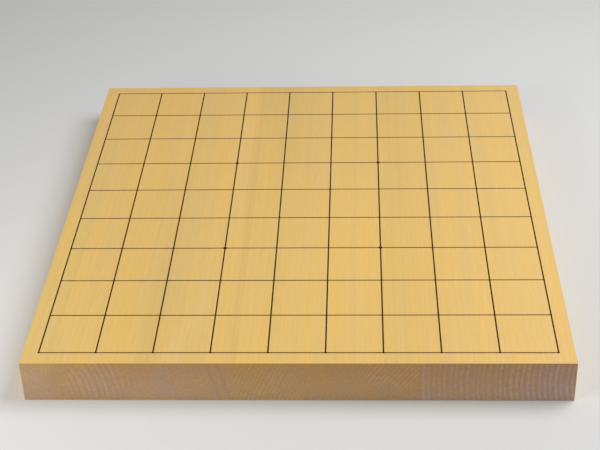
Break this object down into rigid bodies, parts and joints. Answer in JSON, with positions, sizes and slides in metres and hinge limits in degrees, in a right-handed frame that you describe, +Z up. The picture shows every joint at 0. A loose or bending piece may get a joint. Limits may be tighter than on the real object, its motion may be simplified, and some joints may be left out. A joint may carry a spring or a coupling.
{
  "type": "shogi board",
  "caption": "Flat table shogi board: a solid slab of edge-glued wooden staves whose top carries a square playing grid in raised lacquer lines with star points.",
  "frame": {"origin": "middle of the underside, on the surface that the board lies on", "axes": "+X across the files, to the near player's right; +Y along the files and the wood's grain, away from the near player; +Z up out of the playing face"},
  "size_m": [0.33, 0.36, 0.0283],
  "materials": {
    "left_stave_wood": "satin, hand-planed and waxed, honey yellow with a grey mineral streak",
    "middle_stave_wood": "satin, hand-planed and waxed, honey yellow",
    "right_stave_wood": "satin, hand-planed and waxed, a little paler and greyer than the other two",
    "glue": "cured glue, squeezed out and planed flush",
    "lacquer": "black lacquer, drawn wet and left raised"
  },
  "bodies": {
    "root": {"left_stave": "left_stave_wood", "middle_stave": "middle_stave_wood", "right_stave": "right_stave_wood", "left_glue_line": "glue", "right_glue_line": "glue", "file_line_1": "lacquer", "file_line_2": "lacquer", "file_line_3": "lacquer", "file_line_4": "lacquer", "file_line_5": "lacquer", "file_line_6": "lacquer", "file_line_7": "lacquer", "file_line_8": "lacquer", "file_line_9": "lacquer", "file_line_10": "lacquer", "rank_line_1": "lacquer", "rank_line_2": "lacquer", "rank_line_3": "lacquer", "rank_line_4": "lacquer", "rank_line_5": "lacquer", "rank_line_6": "lacquer", "rank_line_7": "lacquer", "rank_line_8": "lacquer", "rank_line_9": "lacquer", "rank_line_10": "lacquer", "star_point_1": "lacquer", "star_point_2": "lacquer", "star_point_3": "lacquer", "star_point_4": "lacquer"}
  },
  "joints": []
}
